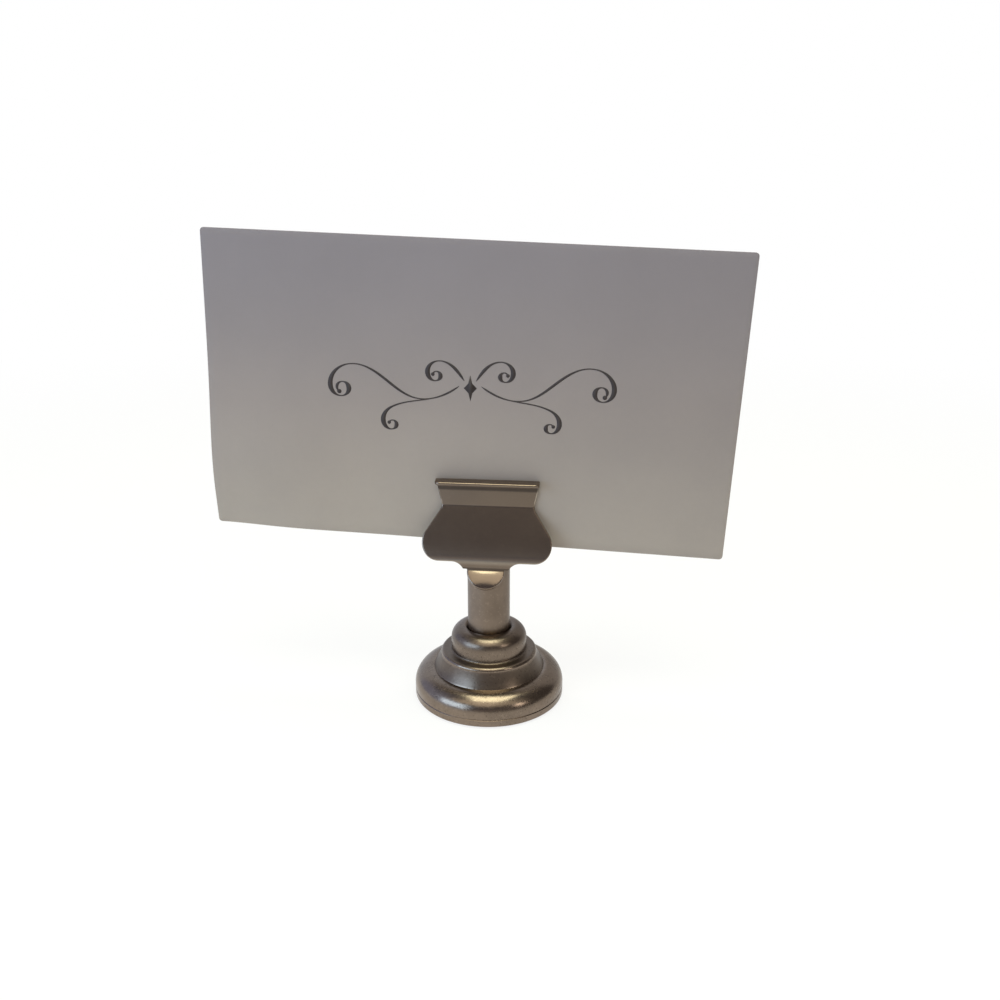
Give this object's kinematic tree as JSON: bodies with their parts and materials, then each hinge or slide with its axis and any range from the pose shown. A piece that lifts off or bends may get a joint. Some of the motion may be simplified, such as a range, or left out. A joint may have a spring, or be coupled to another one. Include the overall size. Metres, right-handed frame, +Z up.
{
  "type": "place card holder",
  "caption": "Round stepped foot with a short post that carries a sprung two-jaw clip gripping one upright card.",
  "frame": {"origin": "on the table, under the axis of the post, at the middle of the felt pad's lower face", "axes": "+X along the card to the reader's right, -Y towards the reader, +Z up from the table"},
  "size_m": [0.0907, 0.0268, 0.0816],
  "materials": {
    "foot_metal": "satin antique pewter plating",
    "jaw_sheet": "satin antique pewter plating, faintly grained",
    "bright_steel": "plain drawn steel",
    "spring_steel": "bright spring wire",
    "felt": "pressed felt",
    "card_stock": "smooth uncoated card with dark ornament"
  },
  "bodies": {
    "stand": {"foot": "foot_metal", "felt_pad": "felt", "post_screw": "bright_steel", "screw_washer": "bright_steel", "post": "foot_metal", "rear_jaw": "jaw_sheet", "rear_rivets": "foot_metal", "hinge_pin": "foot_metal", "torsion_spring": "spring_steel"},
    "jaw": {"front_jaw": "jaw_sheet", "hinge_yoke": "jaw_sheet"},
    "card": {"card": "card_stock"}
  },
  "joints": [
    {"name": "jaw_hinge", "type": "hinge", "parent": "stand", "child": "jaw", "pos_m": [0, 0, 0.0271], "axis": [1, 0, 0], "range_deg": [0, 12], "stiffness_Nm_per_rad": 0.08, "springref_deg": -20.05, "deforming": ["torsion_spring"]},
    {"name": "card_lift", "type": "slide", "parent": "stand", "child": "card", "axis": [0.0386, 0, 0.9993], "range_m": [0, 0.025]}
  ]
}
